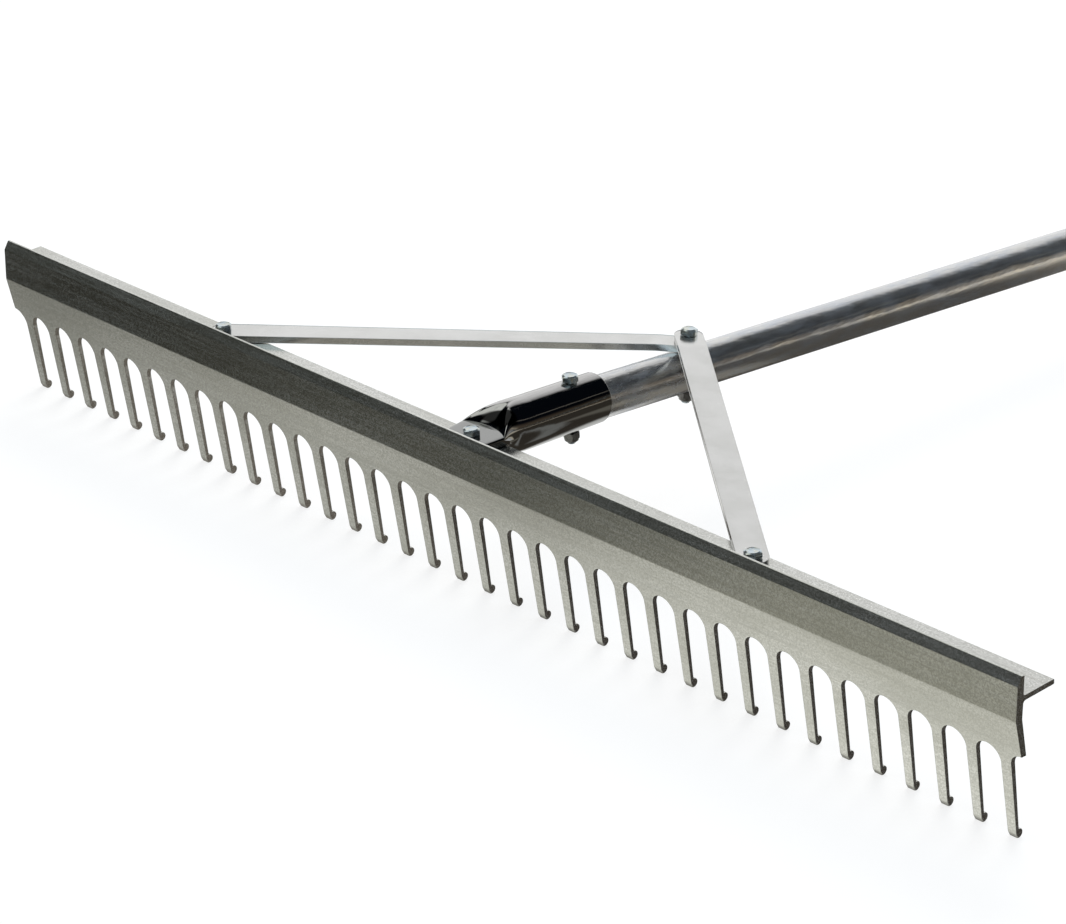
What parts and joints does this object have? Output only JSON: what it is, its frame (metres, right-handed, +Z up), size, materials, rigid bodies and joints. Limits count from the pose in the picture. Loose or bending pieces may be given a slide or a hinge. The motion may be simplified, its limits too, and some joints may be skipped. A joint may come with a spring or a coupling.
{
  "type": "ball field rake",
  "caption": "Wide levelling rake with a punched aluminium head, two flat diagonal braces, a pressed steel ferrule and a long tubular handle.",
  "frame": {"origin": "on the ground, below the middle of the rake's overall length and width", "axes": "+X along the head toward its right end seen from the front, +Y from the head toward the free end of the handle, +Z up, with the rake resting on its teeth and on the handle's end cap"},
  "size_m": [0.9144, 1.7432, 0.122],
  "materials": {
    "mill_aluminium": "mill finish, lightly marked",
    "drawn_aluminium": "drawn tube, satin",
    "bright_steel": "bright plated pressing",
    "zinc": "bright zinc plate",
    "nylon": "natural nylon",
    "black_rubber": "moulded, matte"
  },
  "bodies": {
    "root": {"rake_head": "mill_aluminium", "left_brace": "mill_aluminium", "right_brace": "mill_aluminium", "handle_ferrule": "bright_steel", "handle_tube": "drawn_aluminium", "handle_end_cap": "black_rubber", "left_brace_bolt": "zinc", "left_brace_nut": "zinc", "left_brace_nut_ring": "nylon", "right_brace_bolt": "zinc", "right_brace_nut": "zinc", "right_brace_nut_ring": "nylon", "tongue_bolt": "zinc", "tongue_nut": "zinc", "tongue_nut_ring": "nylon", "ferrule_bolt": "zinc", "ferrule_nut": "zinc", "ferrule_nut_ring": "nylon", "clamp_bolt": "zinc", "clamp_nut": "zinc", "clamp_nut_ring": "nylon"}
  },
  "joints": []
}
